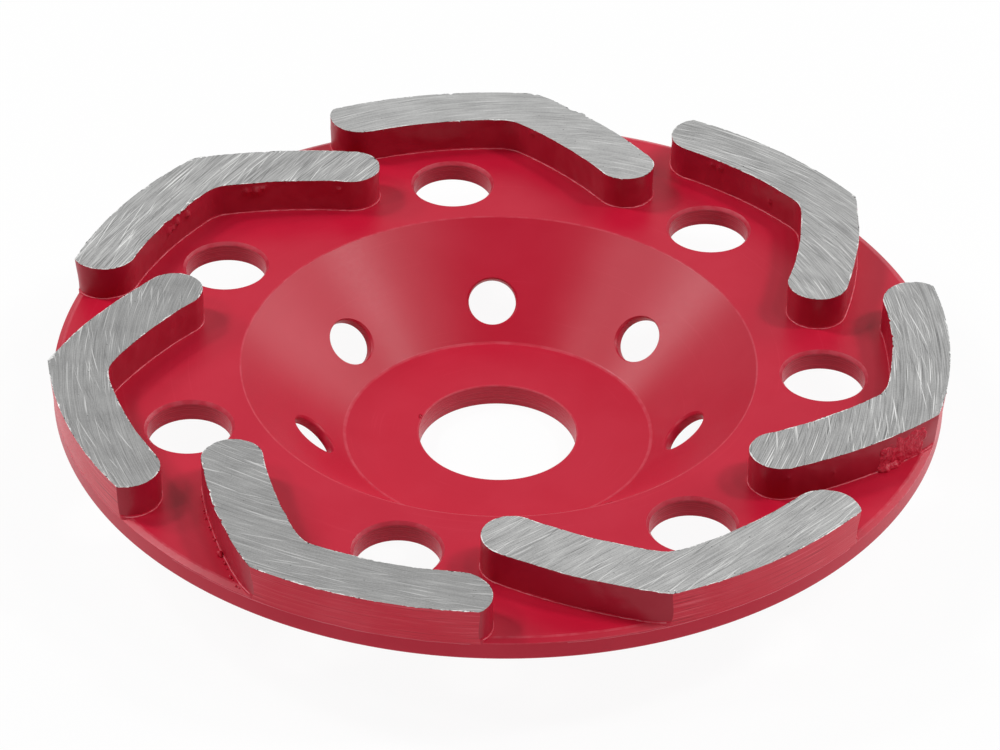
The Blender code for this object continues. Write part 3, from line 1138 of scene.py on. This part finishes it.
@dataclass
class DiamondSegment:
    """One brazed segment with its own chips, burrs and lumps."""

    number: int
    blank: SegmentBlank
    marks: tuple[Mark, ...] = field(default_factory=tuple)
    outline_unevenness: float = 0.34 * MM
    side_unevenness: float = 0.20 * MM
    edge_wear: float = 0.45 * MM
    edge_bite: float = 0.12 * MM
    worn_width: float = 0.42 * MM
    marked_width: float = 0.6 * MM  # of the border in which the finish changes
    border_width: float = 1.0 * MM
    rim_border_radius: float = 61.3 * MM  # beyond it the top's edge is that of the ground face
    free_inset: float = 1.2 * MM  # inside the ground face, where the outline is fully uneven
    inner_wear: float = 0.55  # share of the wear on the edges that aren't ground
    chip_dip: float = 0.6  # how far down a chip goes, as a share of its depth
    level: float = 0.9  # least upward share of the top's normals
    squareness: float = 0.985  # least outward share of the ground face's normals
    sharp_angle: float = math.radians(20.0)

    @property
    def angle(self) -> float:
        """Returns the angle of the inward tip."""
        return FIRST_SEGMENT_ANGLE + (self.number - 1) * math.tau / DIVISIONS

    def edge_distances(self, piece: Piece) -> dict[int, float]:
        """Measures how far the points near the top lie from the top's edge.

        Args:
            piece: The segment.

        Returns:
            The distance of each point that is near the top.
        """
        top = self.blank.top
        points = piece.data.vertices
        corners = {
            index
            for edge in piece.data.edges
            for index, other in (edge.vertices, reversed(edge.vertices))
            if points[index].co.z > top - SAME_HEIGHT > points[other].co.z
        }
        tree = point_tree(piece, corners)
        return {vert.index: tree.find(vert.co)[2] for vert in points if top - vert.co.z < self.border_width}

    def roughen(self, piece: Piece) -> None:
        """Makes the outline and the sides slightly uneven, wears the top edge, and marks it for the finishes.

        Args:
            piece: The segment.
        """
        free, sides = {}, {}
        for vert in piece.data.vertices:
            inset = (self.blank.ground_foot_radius - vert.co.to_2d().length) / self.free_inset
            free[vert.index] = min(1.0, max(0.0, inset))
            if vert.co.z < self.blank.top - SAME_HEIGHT:
                sides[vert.index] = free[vert.index]
        ripple(piece, "outline_x", 7.0 * MM, self.outline_unevenness, direction="X", weights=free)
        ripple(piece, "outline_y", 6.0 * MM, self.outline_unevenness, direction="Y", weights=free)
        ripple(piece, "side_wave", 1.8 * MM, self.side_unevenness, weights=sides)
        worn, bitten = {}, {}
        distances = self.edge_distances(piece)
        edge = piece.data.attributes.new("edge", "FLOAT", "CORNER")
        for face in piece.data.polygons:
            for corner, index in zip(face.loop_indices, face.vertices):
                near = 1.0 - distances.get(index, self.border_width) / self.marked_width
                edge.data[corner].value = max(0.0, near) if len(face.vertices) < self.blank.large_face else 0.0
        for index, distance in distances.items():
            outer = piece.data.vertices[index].co.to_2d().length > self.rim_border_radius
            share = max(0.0, 1.0 - distance / self.worn_width)
            worn[index] = share * (1.0 if outer else self.inner_wear)
            bitten[index] = share * (0.0 if outer else 1.0)
        ripple(piece, "edge_wear", 0.8 * MM, -self.edge_wear, 0.55, "Z", worn)
        ripple(piece, "edge_bite", 0.6 * MM, -self.edge_bite, weights=bitten)

    def push(self, piece: Piece, mark: Mark) -> None:
        """Pushes the surface in or out round a mark.

        Args:
            piece: The segment.
            mark: What is pushed, and where.
        """
        take(piece)
        place = Vector((mark.x * MM, mark.y * MM, mark.z * MM))
        near, index, _ = point_tree(piece, range(len(piece.data.vertices))).find(place)
        normal = piece.data.vertices[index].normal.copy()
        sideways = Vector((normal.x, normal.y, 0.0)).normalized()
        amount = mark.push * MM
        value = sideways * (amount if mark.kind is not Wear.CHIP else -amount)
        if mark.kind is Wear.CHIP:
            value.z = -self.chip_dip * amount
        with editing(piece):
            drag(piece, near, value, mark.kind.value, mark.size * MM)

    def flatten_top(self, piece: Piece) -> None:
        """Puts the large ground face back in its plane, and nothing above it.

        Args:
            piece: The worn segment.
        """
        points = piece.data.vertices
        flat = {
            index
            for face in piece.data.polygons
            if self.blank.is_top([points[index].co for index in face.vertices])
            for index in face.vertices
        }
        for vert in points:
            vert.co.z = self.blank.top if vert.index in flat else min(vert.co.z, self.blank.top)

    def coat_of(self, face: bpy.types.MeshPolygon) -> Coat:
        """Tells which finish a face of the unworn segment has.

        Args:
            face: The face.

        Returns:
            Its finish.
        """
        if face.normal.z > self.level:
            return Coat.GROUND_TOP
        outward = Vector((face.center.x, face.center.y, 0.0)).normalized()
        if face.normal.dot(outward) > self.squareness and self.blank.on_ground_face(face.center):
            return Coat.GROUND_FACE
        return Coat.POWDER

    def build(self, source: Piece, coats: dict[Coat, Material]) -> Piece:
        """Copies the blank, wears it and coats it.

        Args:
            source: The blank.
            coats: The finishes of its slots.

        Returns:
            The finished segment.
        """
        piece = copy_piece(source, f"ground_segment_{self.number}")
        piece.rotation_euler.z = self.angle
        settle(piece)
        dress(piece, *(coats[coat] for coat in Coat))
        for face in piece.data.polygons:
            face.material_index = self.coat_of(face).value
        self.roughen(piece)
        for mark in self.marks:
            self.push(piece, mark)
        self.flatten_top(piece)
        take(piece)
        bpy.ops.object.shade_smooth_by_angle(angle=self.sharp_angle)
        with editing(piece):
            pick(piece, "FACE", self.blank.is_top)
            bpy.ops.mesh.mark_sharp()
        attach(piece, "root")
        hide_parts(f"diamond_segment_{self.number}")
        return piece


@dataclass
class BrazeSeam:
    """The brazed seam under a segment: it fills the gap to the flange and stands out as a thin bead."""

    blank: SegmentBlank
    flush: float = 0.015 * MM
    flush_setback: float = 0.004 * MM
    bead_width: float = 0.13 * MM
    bead_round: float = 0.10 * MM
    bead_setback: float = 0.02 * MM
    bead_top: float = 16.14 * MM
    bead_rim_radius: float = 61.8 * MM  # beyond it the bead is ground flush, and not rounded
    filler_top: float = 16.32 * MM
    flange_top: float = 16.0 * MM
    low: float = 14.7 * MM
    unevenness: float = 0.09 * MM
    uneven_within: float = 61.6 * MM
    steep: float = 0.3  # most upward share of the ground face's normals
    rounded: tuple[float, float] = (0.25, 0.97)  # limits of that share on the bead's rounding, which gets a painted highlight
    sharp_angle: float = math.radians(40.0)

    def is_bead_edge(self, points: Sequence[Vector]) -> bool:
        """Tells whether an edge is one of the bead's upper edges that are rounded."""
        level = all(abs(point.z - self.bead_top) < SAME_HEIGHT for point in points)
        return level and any(point.to_2d().length < self.bead_rim_radius for point in points)

    def bead(self) -> Piece:
        """Builds the rounded, slightly uneven bead along the foot.

        Returns:
            The bead, with the segment's inward tip on +X.
        """
        bead = self.blank.block("bead", self.bead_width, self.low, self.bead_top, setback=self.bead_setback)
        with editing(bead):
            pick(bead, "EDGE", self.is_bead_edge)
            bpy.ops.mesh.bevel(
                offset=self.bead_round, offset_type="OFFSET", segments=3, profile=0.5, affect="EDGES"
            )
        rim = {
            vert.index: 1.0
            for vert in bead.data.vertices
            if vert.co.z > self.flange_top and vert.co.to_2d().length < self.uneven_within
        }
        ripple(bead, "bead", 0.7 * MM, self.unevenness, 0.4, weights=rim)
        return bead

    def build(self, coat: Material, lit_ground_coat: Material) -> list[Piece]:
        """Builds one seam and copies it under every segment.

        Args:
            coat: The powder coat.
            lit_ground_coat: The coat over the ground face, which goes on below the segment; lighter than the cup's
                coat: painted light.

        Returns:
            The seams.
        """
        seam = self.blank.block("braze_seam", self.flush, self.low, self.filler_top, setback=self.flush_setback)
        bead = self.bead()
        take(seam)
        bead.select_set(True)
        bpy.ops.object.join()
        seams = copy_to_segments(seam)
        for seam in seams:
            dress(seam, coat, lit_ground_coat)
            edge = seam.data.attributes.new("edge", "FLOAT", "CORNER")
            least, most = self.rounded
            for face in seam.data.polygons:
                ground = abs(face.normal.z) < self.steep and self.blank.on_ground_face(face.center)
                face.material_index = int(ground)
                # The bead's rounding takes the coat's paler edge colour: a painted highlight along the bead
                if least < face.normal.z < most and face.center.z > self.flange_top:
                    for corner in face.loop_indices:
                        edge.data[corner].value = 1.0
            take(seam)
            bpy.ops.object.shade_smooth_by_angle(angle=self.sharp_angle)
            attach(seam, "root")
        return seams


@dataclass
class GroundRidge:
    """The fine uneven ridge on the rim where the grinding of a segment's outer face ends."""

    radius: float = 61.965 * MM
    height: float = 15.42 * MM
    thickness: float = 0.065 * MM
    first: float = math.radians(6.0)  # from the segment's inward tip
    last: float = math.radians(46.0)
    wave: float = 0.20 * MM
    swell: float = 0.08 * MM
    sides_round_rim: int = 1440
    sides_across: int = 10

    def build(self, coat: Material) -> list[Piece]:
        """Builds one ridge and copies it under every segment.

        Args:
            coat: The powder coat.

        Returns:
            The ridges.
        """
        clear_selection()
        bpy.ops.mesh.primitive_torus_add(
            major_radius=self.radius,
            minor_radius=self.thickness,
            major_segments=self.sides_round_rim,
            minor_segments=self.sides_across,
            location=(0.0, 0.0, self.height),
        )
        ridge = fresh("ground_ridge")
        settle(ridge)
        with editing(ridge):
            for angle, side in ((self.first, 1.0), (self.last, -1.0)):
                bpy.ops.mesh.select_all(action="SELECT")
                bpy.ops.mesh.bisect(
                    plane_co=(0.0, 0.0, self.height),
                    plane_no=(-side * math.sin(angle), side * math.cos(angle), 0.0),
                    clear_inner=True,
                    use_fill=True,
                )
        ripple(ridge, "ridge_wave", 2.5 * MM, self.wave, 0.55, "Z")
        ripple(ridge, "ridge_swell", 0.8 * MM, self.swell, 0.55)
        face_out(ridge)
        ridges = copy_to_segments(ridge)
        for ridge in ridges:
            dress(ridge, coat)
            take(ridge)
            bpy.ops.object.shade_smooth()
            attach(ridge, "root")
        return ridges


Blob = tuple[float, float, float, float, float]  # place, radius and thickness, in millimetres


@dataclass(frozen=True)
class BrazeLump:
    """A lump of braze that ran out and froze on a segment's side: a cluster of flattened blobs, fused and roughened."""

    name: str
    heading: float  # direction in which the side runs, in degrees
    blobs: tuple[Blob, ...]
    grain: float = 0.09 * MM
    roughness: float = 0.22 * MM

    def build(self, coat: Material) -> Piece:
        """Fuses the blobs into one rough lump.

        Args:
            coat: The powder coat.

        Returns:
            The lump.
        """
        turn = math.radians(self.heading)
        clear_selection()
        blobs = []
        for x, y, z, radius, thickness in self.blobs:
            bpy.ops.mesh.primitive_ico_sphere_add(
                subdivisions=3,
                radius=1.0 * MM,
                location=(x * MM, y * MM, z * MM),
                rotation=(0.0, 0.0, turn),
                scale=(radius, thickness, radius),
            )
            blobs.append(bpy.context.active_object)
        for blob in blobs:
            blob.select_set(True)
        bpy.ops.object.join()
        lump = fresh(self.name)
        settle(lump)
        fuse = lump.modifiers.new("fuse", "REMESH")
        fuse.mode = "VOXEL"
        fuse.voxel_size = self.grain
        soften = lump.modifiers.new("soften", "SMOOTH")
        soften.iterations = 7
        apply_modifiers(lump)
        ripple(lump, "crust", 0.8 * MM, self.roughness)
        ripple(lump, "grit", 0.3 * MM, self.roughness * 0.8)
        dress(lump, coat)
        take(lump)
        bpy.ops.object.shade_smooth()
        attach(lump, "root")
        return lump


@dataclass(frozen=True)
class BrazePatch:
    """The crust on part of a segment's side: blobs close enough to fuse into one sheet. All sizes in millimetres."""

    start: tuple[float, float] = (51.35, -24.95)
    heading: float = 35.8  # direction in which the side runs, in degrees
    seed: int = 11
    columns: int = 15
    first_column: float = 0.2  # from the start, along the side
    column_pitch: float = 0.5
    column_shift: float = 0.35
    least_run: float = 0.1
    rows: int = 8
    first_row: float = 16.4
    row_pitch: float = 0.58
    row_shift: float = 0.3
    crest: float = 19.0  # the highest blobs at the start, from where the crest rises
    crest_rise: float = 0.45
    highest: float = 20.15
    radii: tuple[float, float] = (0.35, 0.75)
    thicknesses: tuple[float, float] = (0.12, 0.27)
    foot_height: float = 16.15
    foot_blobs: tuple[tuple[float, float], ...] = ((0.3, 0.5), (0.9, 0.75), (1.8, 0.6), (2.4, 0.7), (3.4, 0.4))
    foot_bulge: float = 1.2  # thickness of a blob along the foot, as a share of its radius

    def place(self, run: float) -> Vector:
        """Returns the place on the side at a distance from the start."""
        heading = math.radians(self.heading)
        return Vector(self.start) + Vector((math.cos(heading), math.sin(heading))) * run

    def blobs(self) -> tuple[Blob, ...]:
        """Scatters the blobs in uneven columns, and lays a few more along the foot.

        Returns:
            The blobs.
        """
        dice = random.Random(self.seed)
        blobs = []
        for column in range(self.columns):
            run = self.first_column + self.column_pitch * column
            crest = min(self.highest, self.crest + self.crest_rise * run)
            for row in range(self.rows):
                height = self.first_row + self.row_pitch * row + dice.uniform(-self.row_shift, self.row_shift)
                if height > crest:
                    continue
                shifted = run + dice.uniform(-self.column_shift, self.column_shift)
                place = self.place(max(self.least_run, shifted))
                blobs.append((place.x, place.y, height, dice.uniform(*self.radii), dice.uniform(*self.thicknesses)))
        for run, radius in self.foot_blobs:
            place = self.place(run)
            blobs.append((place.x, place.y, self.foot_height, radius, radius * self.foot_bulge))
        return tuple(blobs)


SIDE_PATCH = BrazePatch()
BRAZE_LUMPS = (
    BrazeLump("braze_lump_side", SIDE_PATCH.heading, SIDE_PATCH.blobs()),
    BrazeLump(
        "braze_lump_foot",
        -71.3,
        (
            (-39.20, -32.70, 16.05, 0.20, 0.18),
            (-39.05, -33.75, 16.05, 0.13, 0.13),
            (-38.67, -35.80, 16.1, 0.14, 0.13),
            (-38.63, -36.30, 16.05, 0.14, 0.14),
            (-38.32, -37.55, 16.1, 0.15, 0.15),
            (-37.80, -39.30, 16.05, 0.16, 0.14),
            (-37.55, -39.85, 16.1, 0.18, 0.18),
            (-37.17, -41.40, 16.05, 0.11, 0.10),
            (-36.83, -42.10, 16.1, 0.21, 0.21),
            (-36.52, -43.45, 16.05, 0.12, 0.12),
            (-36.00, -45.10, 16.2, 0.45, 0.43),
            (-35.85, -45.45, 16.1, 0.24, 0.25),
            (-35.47, -46.60, 16.05, 0.11, 0.11),
            (-35.23, -47.00, 16.1, 0.24, 0.21),
            (-34.82, -48.15, 16.05, 0.14, 0.14),
            (-34.30, -49.80, 16.1, 0.25, 0.23),
            (-33.95, -50.35, 16.05, 0.15, 0.14),
            (-33.47, -51.50, 15.95, 0.14, 0.14),
            (-33.03, -51.80, 15.85, 0.18, 0.16),
        ),
        grain=0.06 * MM,
        roughness=0.12 * MM,
    ),
)


@dataclass(frozen=True)
class Lamp:
    """A round softbox that faces the wheel."""

    name: str
    azimuth: float  # of the wheel's view of it, in degrees from +X
    elevation: float  # in degrees above the floor
    size: float
    power: float  # in watts


@dataclass
class Studio:
    """The pale floor, the soft lights and the camera."""

    floor_size: float = 6.0
    floor_height: float = -0.05 * MM
    floor_grey: Colour = (0.93, 0.93, 0.93, 1.0)
    floor_whiteness: float = 0.94  # the rest is lit, and keeps the shadow
    lamp_distance: float = 0.9
    lamps: tuple[Lamp, ...] = (
        Lamp("front_low", 272.0, 12.0, 0.6, 1.6),
        Lamp("right", 0.0, 50.0, 0.15, 2.5),
        Lamp("right_front_high", 340.0, 65.0, 0.15, 1.0),
        Lamp("right_rear_low", 30.0, 25.0, 0.6, 3.1),
        Lamp("left_rear_low", 160.0, 35.0, 0.15, 1.5),
        Lamp("left_rear", 160.0, 50.0, 0.15, 2.3),
        Lamp("left_front", 200.0, 50.0, 0.15, 1.2),
    )
    camera_place: tuple[float, float, float] = (0.0002, -0.45216, 0.33742)
    pitch: float = 0.6221349
    roll: float = 0.0146475
    lens: float = 143.057  # in millimetres, with the sensor width
    sensor_width: float = 36.0

    def seen(self, bench: NodeBench) -> Socket:
        """Tells a ray that shows the background from one that lights the wheel.

        Args:
            bench: The nodes of the floor or the world.

        Returns:
            1 for a camera, glossy or transmission ray, and 0 for any other.
        """
        path = bench.add("ShaderNodeLightPath", {}).outputs
        shown = bench.math("MAXIMUM", path["Is Camera Ray"], path["Is Glossy Ray"])
        return bench.math("MAXIMUM", shown, path["Is Transmission Ray"])

    def lay_floor(self) -> None:
        """Lays the pale floor under the hub, which keeps a soft shadow."""
        clear_selection()
        bpy.ops.mesh.primitive_plane_add(size=self.floor_size, location=(0.0, 0.0, self.floor_height))
        floor = fresh("pale_floor")
        settle(floor)
        bench = NodeBench(bpy.data.materials.new("pale_floor"))
        lit = bench.add("ShaderNodeBsdfDiffuse", {"Color": self.floor_grey})
        white = bench.add("ShaderNodeEmission", {"Color": WHITE, "Strength": 1.0})
        share = bench.math("MULTIPLY", self.seen(bench), self.floor_whiteness)
        mixed = bench.add("ShaderNodeMixShader", {0: share, 1: lit.outputs[0], 2: white.outputs[0]})
        bench.owner.cycles.emission_sampling = "NONE"
        dress(floor, bench.finish(mixed.outputs[0]))

    def light_world(self) -> None:
        """Makes the background plain white, without any light from it on the wheel."""
        world = bpy.data.worlds.new("soft_studio")
        bpy.context.scene.world = world
        bench = NodeBench(world, "ShaderNodeOutputWorld")
        dark = bench.add("ShaderNodeBackground", {"Color": WHITE, "Strength": 0.0})
        white = bench.add("ShaderNodeBackground", {"Color": WHITE, "Strength": 1.0})
        inputs = {0: self.seen(bench), 1: dark.outputs[0], 2: white.outputs[0]}
        bench.finish(bench.add("ShaderNodeMixShader", inputs).outputs[0])

    def hang_lamps(self) -> None:
        """Hangs the round softboxes, which all face the wheel."""
        for lamp in self.lamps:
            around, up = math.radians(lamp.azimuth), math.radians(lamp.elevation)
            place = Vector((math.cos(around) * math.cos(up), math.sin(around) * math.cos(up), math.sin(up)))
            light = bpy.data.lights.new(lamp.name, "AREA")
            light.shape = "DISK"
            light.size = lamp.size
            light.energy = lamp.power
            softbox = bpy.data.objects.new(lamp.name, light)
            softbox.location = place * self.lamp_distance
            softbox.rotation_euler = (-place).to_track_quat("-Z", "Y").to_euler()
            bpy.context.scene.collection.objects.link(softbox)

    def place_camera(self) -> None:
        """Places the camera at the photograph's angle."""
        data = bpy.data.cameras.new("view")
        data.sensor_width = self.sensor_width
        data.lens = self.lens
        camera = bpy.data.objects.new("view", data)
        turn = Matrix.Rotation(math.pi / 2 - self.pitch, 4, "X") @ Matrix.Rotation(self.roll, 4, "Z")
        camera.matrix_world = Matrix.Translation(self.camera_place) @ turn
        bpy.context.scene.collection.objects.link(camera)
        bpy.context.scene.camera = camera

    def build(self) -> None:
        """Sets up the floor, the lights and the camera."""
        self.lay_floor()
        self.light_world()
        self.hang_lamps()
        self.place_camera()
        bpy.context.scene.view_settings.view_transform = "Standard"


@dataclass(frozen=True)
class TopLook:
    """How one segment's top was ground."""

    tone: float  # how light it looks
    contrast: float  # of the scratches
    centre: tuple[float, float]  # of the scratches' wide arcs, in millimetres


TOP_LOOKS = (  # in the order of the segments
    TopLook(1.09, 0.7, (3.0, 0.0)),
    TopLook(0.98, 1.25, (173.0, -88.0)),
    TopLook(0.79, 0.75, (20.4, -4.7)),
    TopLook(0.79, 0.65, (27.1, 71.2)),
    TopLook(1.01, 0.9, (-140.0, 137.0)),
    TopLook(0.91, 1.1, (-32.3, -4.5)),
    TopLook(0.98, 1.0, (0.0, -4.0)),
)


def chip(x: float, y: float, size: float, push: float) -> Mark:
    """Returns a chip in the top edge."""
    return Mark(Wear.CHIP, x, y, size=size, push=push)


def burr(x: float, y: float, size: float, push: float) -> Mark:
    """Returns a burr on the top edge."""
    return Mark(Wear.BURR, x, y, size=size, push=push)


def lump(x: float, y: float, z: float, size: float, push: float) -> Mark:
    """Returns a lump on a side."""
    return Mark(Wear.LUMP, x, y, z, size, push)


SEGMENT_MARKS: tuple[tuple[Mark, ...], ...] = (  # in the order of the segments
    (
        chip(-7.82, 61.93, 0.6, 0.25), chip(4.91, 62.28, 0.8, 0.3), burr(10.18, 57.55, 0.7, 0.3),
        burr(11.24, 57.01, 0.5, 0.22), burr(12.3, 56.6, 0.7, 0.35), chip(3.87, 53.13, 0.5, 0.25),
        lump(4.47, 52.09, 20.5, 0.6, 0.3),
    ),
    (
        chip(-58.54, 20.21, 1.1, 0.5), chip(-51.08, 34.33, 0.6, 0.3), chip(-49.29, 37.61, 0.7, 0.35),
        chip(-48.5, 38.71, 0.5, 0.25), chip(-44.09, 42.92, 0.6, 0.25), chip(-41.46, 43.27, 0.6, 0.25),
        chip(-38.39, 43.9, 0.7, 0.3), chip(-35.03, 44.55, 0.6, 0.25), chip(-32.53, 44.89, 0.6, 0.25),
        chip(-44.4, 31.6, 0.5, 0.3), chip(-45.2, 30.4, 0.6, 0.35), burr(-45.9, 29.3, 0.5, 0.25),
        chip(-46.5, 28.4, 0.6, 0.4), chip(-47.2, 27.3, 0.5, 0.3), burr(-47.7, 26.4, 0.5, 0.2),
        chip(-48.3, 25.2, 0.5, 0.3), lump(-45.68, 29.7, 19.88, 0.9, 0.5), lump(-46.86, 27.81, 19.54, 0.8, 0.5),
        lump(-47.4, 26.9, 19.3, 0.6, 0.4), lump(-47.9, 25.98, 19.0, 0.9, 0.4), lump(-37.36, 36.07, 19.86, 0.8, 0.35),
        lump(-35.77, 36.34, 19.54, 1.1, 0.45), lump(-34.6, 36.51, 19.98, 0.7, 0.3),
        lump(-23.78, 36.99, 19.68, 0.5, 0.25),
    ),
    (
        chip(-59.99, -15.72, 0.6, 0.3), chip(-57.26, -22.99, 0.6, 0.25), chip(-53.79, -30.07, 0.7, 0.3),
        chip(-50.68, -35.28, 0.5, 0.25), chip(-49.37, -36.77, 0.6, 0.3),
    ),
    (
        chip(-38.94, -33.68, 0.5, 0.25), chip(-37.98, -38.01, 0.6, 0.25), chip(-36.98, -41.21, 0.6, 0.3),
        chip(-35.86, -44.38, 0.6, 0.3), lump(-27.62, -43.12, 21.1, 1.8, 0.25), chip(-30.9, -53.86, 0.6, 0.25),
        chip(-25.01, -56.59, 0.6, 0.25), chip(-18.26, -59.88, 0.6, 0.3), chip(-9.86, -61.49, 0.7, 0.3),
    ),
    (
        chip(20.79, -57.75, 0.6, 0.25), chip(22.83, -57.5, 0.5, 0.25), chip(46.6, -41.2, 0.6, 0.3),
    ),
    (
        chip(54.09, 3.34, 0.6, 0.3), chip(54.23, -0.54, 0.5, 0.25), chip(54.22, -2.71, 0.6, 0.3),
        chip(59.34, -18.05, 0.6, 0.3), chip(60.15, -16.42, 0.6, 0.3), chip(60.78, -13.63, 0.6, 0.25),
        lump(38.72, -31.41, 19.81, 0.35, 0.2), lump(44.91, -28.67, 18.86, 0.35, 0.2),
    ),
    (
        chip(50.54, 35.72, 0.5, 0.25), chip(51.3, 33.87, 0.6, 0.25), chip(48.9, 37.56, 0.5, 0.25),
        lump(31.02, 44.8, 20.15, 0.6, 0.3), lump(32.18, 43.99, 20.17, 0.7, 0.3), lump(39.52, 37.52, 18.34, 0.5, 0.25),
    ),
)


def build_segments(blank: SegmentBlank, shaded_side_coat: Material, lit_ground_coat: Material) -> None:
    """Builds the seven segments, each with its own top.

    Args:
        blank: The shape that they share.
        shaded_side_coat: The coat on their sides, a darker copy of the red coat: painted shade.
        lit_ground_coat: The coat on their ground outer faces, a lighter copy of the red coat: painted light.
    """
    source = blank.build()
    for number, (look, marks) in enumerate(zip(TOP_LOOKS, SEGMENT_MARKS), start=1):
        segment = DiamondSegment(number, blank, marks)
        top = GroundTop(
            f"ground_top_{number}",
            middle=blank.polar(57.0 * MM, segment.angle + blank.spread / 2),
            centre=Vector(look.centre) * MM,
            seed=13.7 * number,
            tone=look.tone,
            contrast=look.contrast,
        )
        coats = {Coat.POWDER: shaded_side_coat, Coat.GROUND_TOP: top.build(), Coat.GROUND_FACE: lit_ground_coat}
        report(segment.build(source, coats))
    bpy.data.objects.remove(source, do_unlink=True)


def report(piece: Piece) -> None:
    """Logs a finished piece."""
    log.info("%s: %d faces", piece.name, len(piece.data.polygons))


def main() -> None:
    """Builds the wheel piece by piece, and the studio round it."""
    logging.basicConfig(level=logging.INFO, format="%(name)s: %(message)s")
    coat = PowderCoat("red_powder_coat").build()
    # The segments' sides get a darker copy of the red coat: painted shade, as they see the red flange instead of the
    # white floor.
    shaded_side_coat = PowderCoat(
        "shaded_red_segment_side", red=(0.37, 0.008, 0.025, 1.0), thin_red=(0.46, 0.03, 0.055, 1.0), under=Under.SINTER
    ).build()
    # The ground faces get a lighter copy of the red coat: painted light, as from the white floor that they face; the
    # grinding marks on it are real.
    lit_ground_coat = PowderCoat(
        "lit_ground_red_face", red=(0.59, 0.011, 0.036, 1.0), thin_red=(0.72, 0.085, 0.12, 1.0), under=Under.GRINDING
    ).build()
    # The ridge's coat is paler: partly a thin coat over the sharp ridge, partly a painted highlight along it.
    lit_thin_ridge_coat = PowderCoat("thin_red_coat", red=(0.66, 0.11, 0.15, 1.0), thin_red=(0.76, 0.27, 0.31, 1.0)).build()
    blank = SegmentBlank()
    report(CupBody().build(coat))
    build_segments(blank, shaded_side_coat, lit_ground_coat)
    for piece in (*BrazeSeam(blank).build(coat, lit_ground_coat), *GroundRidge().build(lit_thin_ridge_coat)):
        report(piece)
    for lump_of_braze in BRAZE_LUMPS:
        report(lump_of_braze.build(coat))
    Studio().build()


if __name__ == "__main__":
    main()
